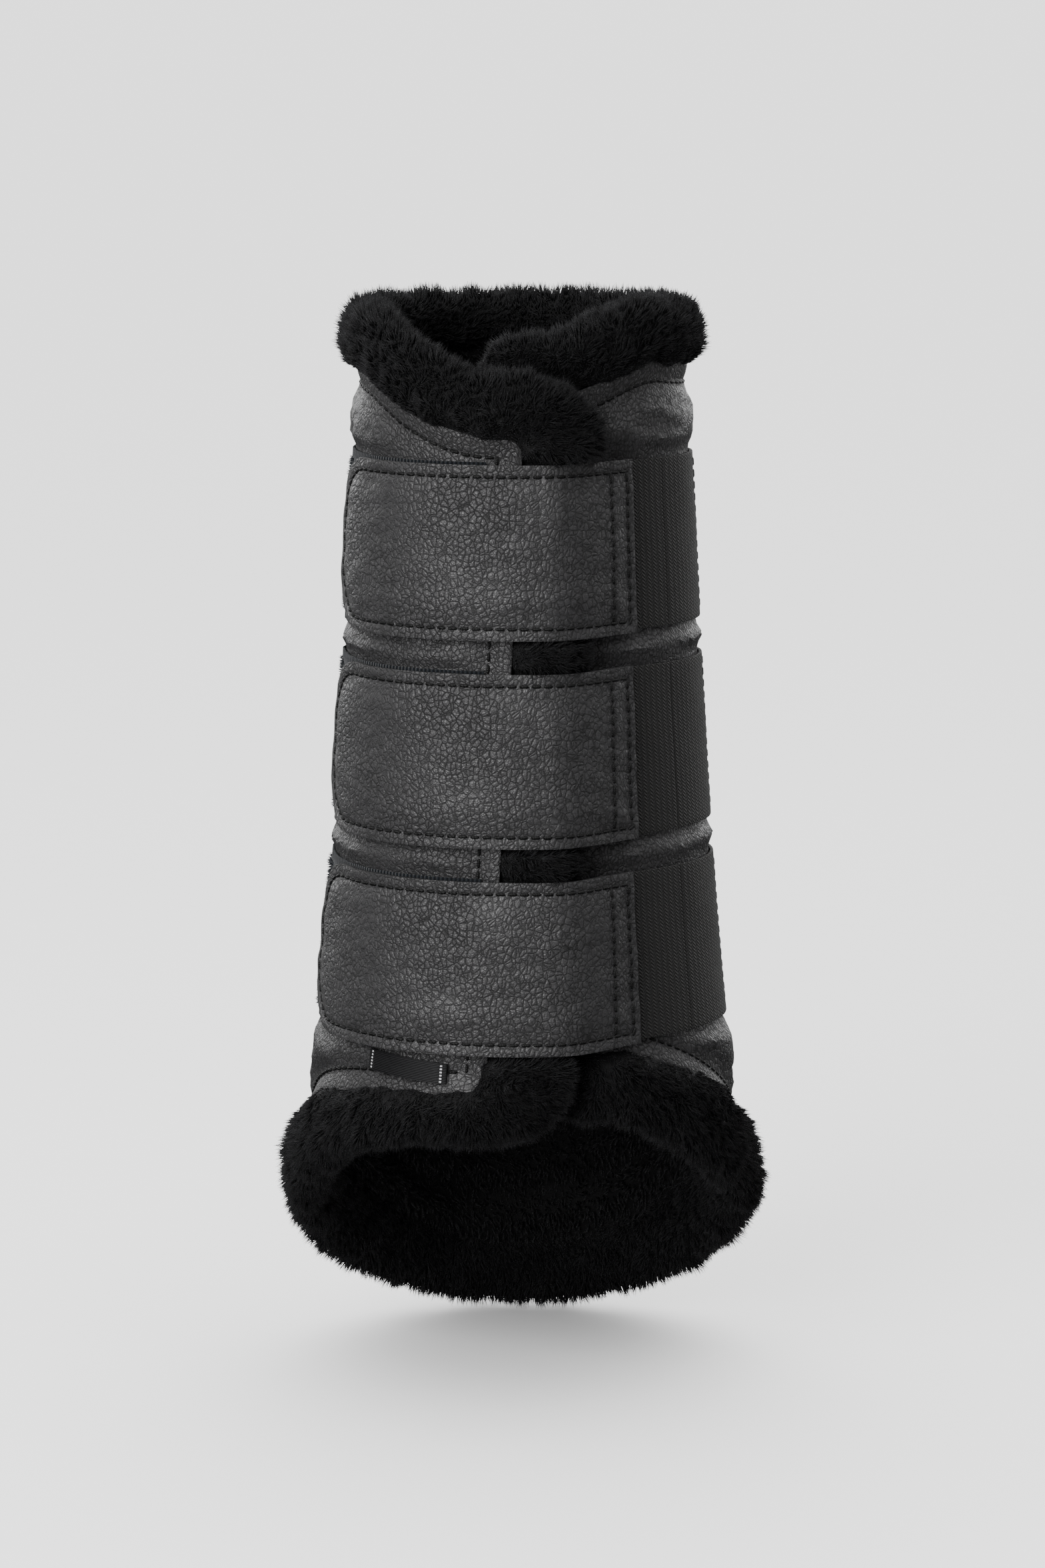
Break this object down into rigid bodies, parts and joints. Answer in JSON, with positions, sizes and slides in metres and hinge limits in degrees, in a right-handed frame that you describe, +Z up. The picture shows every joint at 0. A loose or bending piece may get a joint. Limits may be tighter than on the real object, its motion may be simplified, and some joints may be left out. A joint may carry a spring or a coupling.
{
  "type": "horse tendon boot",
  "caption": "Padded leather-look boot for a horse's lower leg, lined and edged with thick plush, closed at the front by elastic straps whose tabs grip loop patches.",
  "frame": {"origin": "on the axis of the leg that the boot wraps, level with the lowest edge at the back", "axes": "+Z up along the leg, -Y to the front where the flaps overlap, +X to the right as seen from the front"},
  "size_m": [0.1456, 0.146, 0.3264],
  "materials": {
    "leather": "pebble-grained, semi-matt",
    "tab": "pebble-grained, semi-matt",
    "plush": "deep pile",
    "foam": "matt foam",
    "guard": "matt",
    "loop": "brushed loop pile",
    "hook": "hook pile",
    "elastic": "woven twill",
    "label": "woven satin"
  },
  "bodies": {
    "back": {"leather_back": "leather", "tendon_guard": "guard", "foam_back": "foam", "lining_back": "plush", "top_roll_back": "plush", "bottom_roll_back": "plush"},
    "left_flap": {"leather_left": "leather", "foam_left": "foam", "lining_left": "plush", "top_roll_left": "plush", "edge_roll_left": "plush", "bottom_roll_left": "plush", "loop_patch_bottom": "loop", "loop_patch_middle": "loop", "loop_patch_top": "loop", "size_label": "label"},
    "right_flap": {"leather_right": "leather", "foam_right": "foam", "lining_right": "plush", "top_roll_right": "plush", "edge_roll_right": "plush", "bottom_roll_right": "plush", "elastic_anchor_bottom": "elastic", "elastic_anchor_middle": "elastic", "elastic_anchor_top": "elastic"},
    "elastic_bottom": {"elastic_bottom": "elastic"},
    "tab_bottom": {"tab_leather_bottom": "tab", "elastic_tail_bottom": "elastic", "hook_pad_bottom": "hook"},
    "elastic_middle": {"elastic_middle": "elastic"},
    "tab_middle": {"tab_leather_middle": "tab", "elastic_tail_middle": "elastic", "hook_pad_middle": "hook"},
    "elastic_top": {"elastic_top": "elastic"},
    "tab_top": {"tab_leather_top": "tab", "elastic_tail_top": "elastic", "hook_pad_top": "hook"}
  },
  "joints": [
    {"name": "left_flap_open", "type": "hinge", "parent": "back", "child": "left_flap", "pos_m": [-0.05289, 0.01323, 0.3163], "axis": [-0.0733, 0.0183, -0.9971], "range_deg": [0, 58.5]},
    {"name": "right_flap_open", "type": "hinge", "parent": "back", "child": "right_flap", "pos_m": [0.04493, 0.02961, 0.3163], "axis": [-0.065, -0.0429, 0.997], "range_deg": [0, 26]},
    {"name": "strap_bottom_swing", "type": "hinge", "parent": "right_flap", "child": "elastic_bottom", "pos_m": [0.05749, -0.01136, 0.1345], "axis": [-0.0847, 0.0167, 0.9963], "range_deg": [0, 130]},
    {"name": "tab_bottom_peel", "type": "hinge", "parent": "elastic_bottom", "child": "tab_bottom", "pos_m": [0.0348, -0.04428, 0.1345], "axis": [-0.0475, 0.0604, 0.997], "range_deg": [0, 110]},
    {"name": "strap_middle_swing", "type": "hinge", "parent": "right_flap", "child": "elastic_middle", "pos_m": [0.0532, -0.01051, 0.1945], "axis": [-0.0588, 0.0116, 0.9982], "range_deg": [0, 130]},
    {"name": "tab_middle_peel", "type": "hinge", "parent": "elastic_middle", "child": "tab_middle", "pos_m": [0.03419, -0.03921, 0.1945], "axis": [-0.0352, 0.0404, 0.9986], "range_deg": [0, 110]},
    {"name": "strap_top_swing", "type": "hinge", "parent": "right_flap", "child": "elastic_top", "pos_m": [0.04995, -0.00987, 0.2545], "axis": [-0.0498, 0.0098, 0.9987], "range_deg": [0, 130]},
    {"name": "tab_top_peel", "type": "hinge", "parent": "elastic_top", "child": "tab_top", "pos_m": [0.03368, -0.03533, 0.2545], "axis": [-0.0314, 0.0329, 0.999], "range_deg": [0, 110]}
  ],
  "couplings": [
    {"joint": "strap_middle_swing", "follows": "strap_top_swing", "ratio": 1},
    {"joint": "strap_bottom_swing", "follows": "strap_top_swing", "ratio": 1},
    {"joint": "left_flap_open", "follows": "strap_top_swing", "ratio": 0.45},
    {"joint": "right_flap_open", "follows": "strap_top_swing", "ratio": 0.2}
  ]
}
